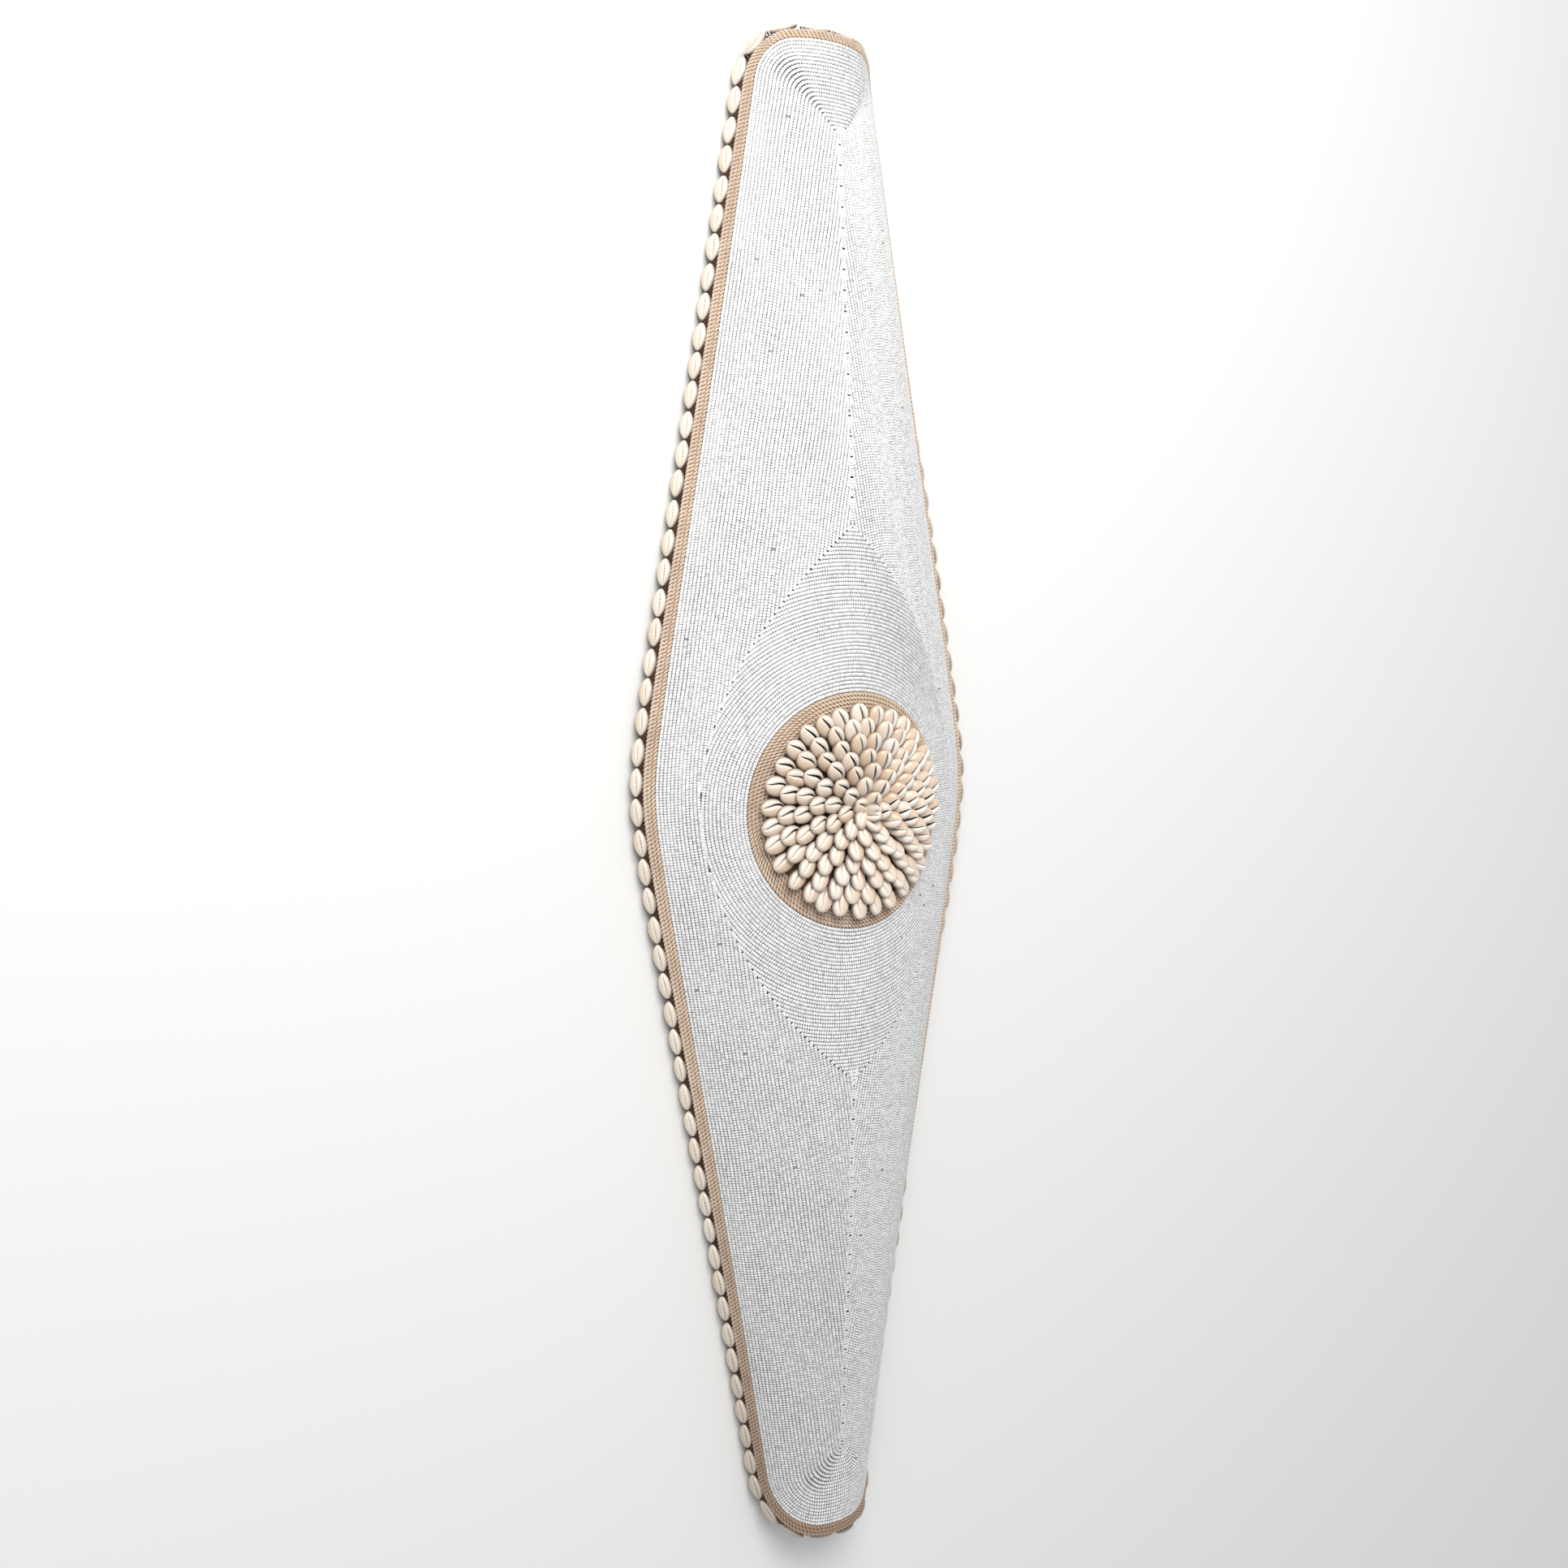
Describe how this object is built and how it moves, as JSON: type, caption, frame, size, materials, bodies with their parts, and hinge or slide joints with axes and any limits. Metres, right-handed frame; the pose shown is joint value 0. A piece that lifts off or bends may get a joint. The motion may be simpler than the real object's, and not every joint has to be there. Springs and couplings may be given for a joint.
{
  "type": "beaded shield",
  "caption": "Long lozenge-shaped arched shield: hollow-backed wooden board covered in rows of white beads, with twine borders, a cowrie-edged side wall and a round cowrie boss.",
  "frame": {"origin": "on the underside of the rim, in the middle of the shield's length and width", "axes": "+Z out of the beaded front, +Y along the shield towards its squarer end, +X across it to the right"},
  "size_m": [0.2974, 1.1282, 0.0991],
  "materials": {
    "carved_wood": "dark, tool-marked, unvarnished",
    "dark_cloth": "dark brown plain weave",
    "white_beads": "opaque white seed beads in rows",
    "tan_twine": "two-ply plant-fibre twine",
    "pale_twine": "two-ply plant-fibre twine, paler",
    "edge_shell": "natural cowrie shell, softly glossy",
    "boss_shell": "natural cowrie shell, glossy",
    "cushion_cloth": "dark brown cloth over a low pad"
  },
  "bodies": {
    "root": {"wooden_board": "carved_wood", "base_cloth": "dark_cloth", "bead_field": "white_beads", "edge_twine_inner": "tan_twine", "edge_twine_middle": "tan_twine", "edge_twine_outer": "pale_twine", "edge_cowries_left": "edge_shell", "edge_cowries_right": "edge_shell", "edge_cowries_top": "edge_shell", "edge_cowries_bottom": "edge_shell", "boss_cushion": "cushion_cloth", "boss_twine": "tan_twine", "boss_cowries_ring_1": "boss_shell", "boss_cowries_ring_2": "boss_shell", "boss_cowries_ring_3": "boss_shell", "boss_cowries_ring_4": "boss_shell", "boss_cowries_ring_5": "boss_shell", "boss_cowries_ring_6": "boss_shell", "boss_cowries_ring_7": "boss_shell"}
  },
  "joints": []
}
